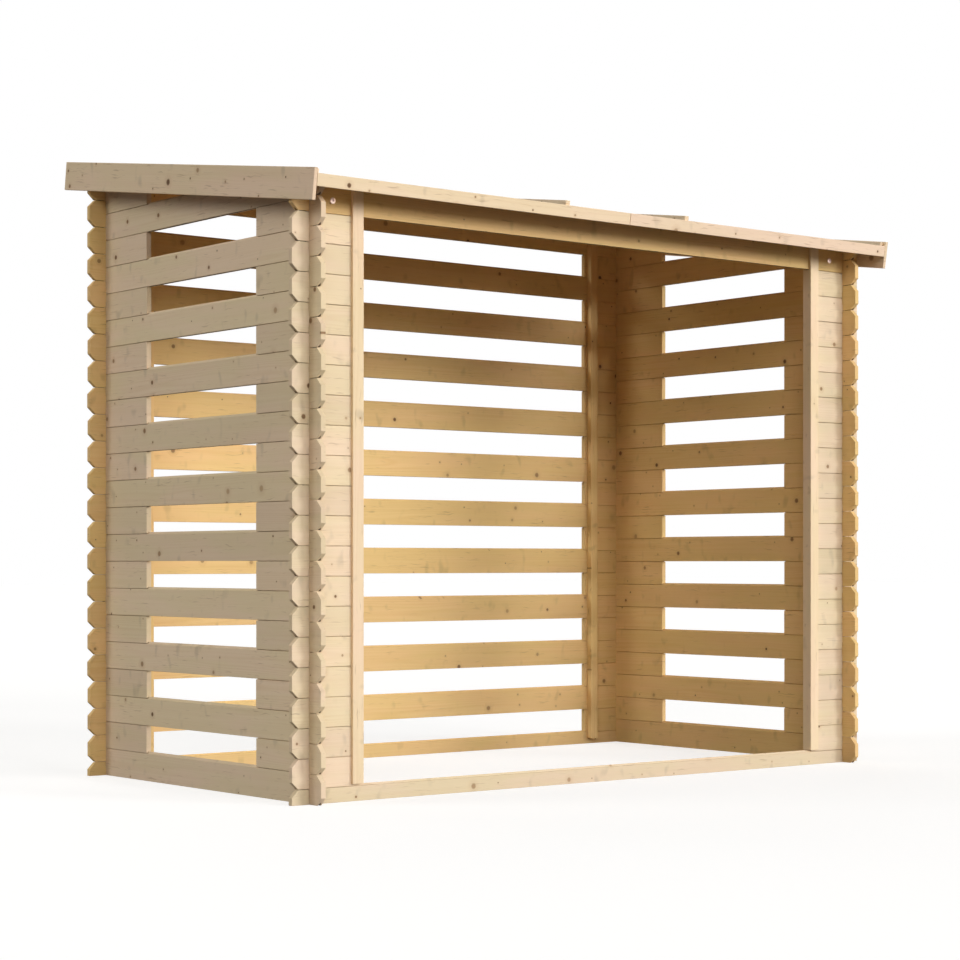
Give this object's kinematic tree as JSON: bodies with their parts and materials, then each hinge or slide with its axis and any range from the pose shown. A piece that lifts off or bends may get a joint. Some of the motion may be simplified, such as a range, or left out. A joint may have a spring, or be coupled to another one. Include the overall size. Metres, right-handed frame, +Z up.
{
  "type": "log store",
  "caption": "Open-fronted firewood store of interlocking notched logs, with slotted side and back walls and a single-slope boarded roof.",
  "frame": {"origin": "on the ground under the middle of the store's plan", "axes": "+X along the front to the right, +Y from the open front to the back wall, +Z up"},
  "size_m": [2.424, 1.4658, 2.0324],
  "materials": {
    "wall_logs": "planed untreated softwood, pale, with small dark knots",
    "planed_posts": "planed untreated softwood",
    "planed_trim": "planed untreated softwood",
    "roof_boarding": "planed tongue-and-groove softwood boards",
    "roofing_felt": "mineral-faced bitumen roofing felt"
  },
  "bodies": {
    "root": {"back_brace_left": "planed_posts", "back_brace_right": "planed_posts", "back_sill_log": "wall_logs", "back_wall_left_short_logs": "wall_logs", "back_wall_long_logs": "wall_logs", "back_wall_right_short_logs": "wall_logs", "barge_board_left": "planed_trim", "barge_board_right": "planed_trim", "edge_batten_left": "planed_trim", "edge_batten_right": "planed_trim", "felt_batten_left": "planed_trim", "felt_batten_right": "planed_trim", "front_fascia_left": "planed_trim", "front_fascia_right": "planed_trim", "front_left_even_logs": "wall_logs", "front_left_odd_logs": "wall_logs", "front_lintel_log": "wall_logs", "front_right_even_logs": "wall_logs", "front_right_odd_logs": "wall_logs", "front_sill_log": "wall_logs", "left_wall_back_short_logs": "wall_logs", "left_wall_front_short_logs": "wall_logs", "left_wall_long_logs": "wall_logs", "left_wall_top_wedge": "wall_logs", "opening_post_left": "planed_posts", "opening_post_right": "planed_posts", "rear_fascia_left": "planed_trim", "rear_fascia_right": "planed_trim", "right_wall_back_short_logs": "wall_logs", "right_wall_front_short_logs": "wall_logs", "right_wall_long_logs": "wall_logs", "right_wall_top_wedge": "wall_logs", "roof_boards_left": "roof_boarding", "roof_boards_right": "roof_boarding", "roof_felt_left": "roofing_felt", "roof_felt_middle": "roofing_felt", "roof_felt_right": "roofing_felt"}
  },
  "joints": []
}
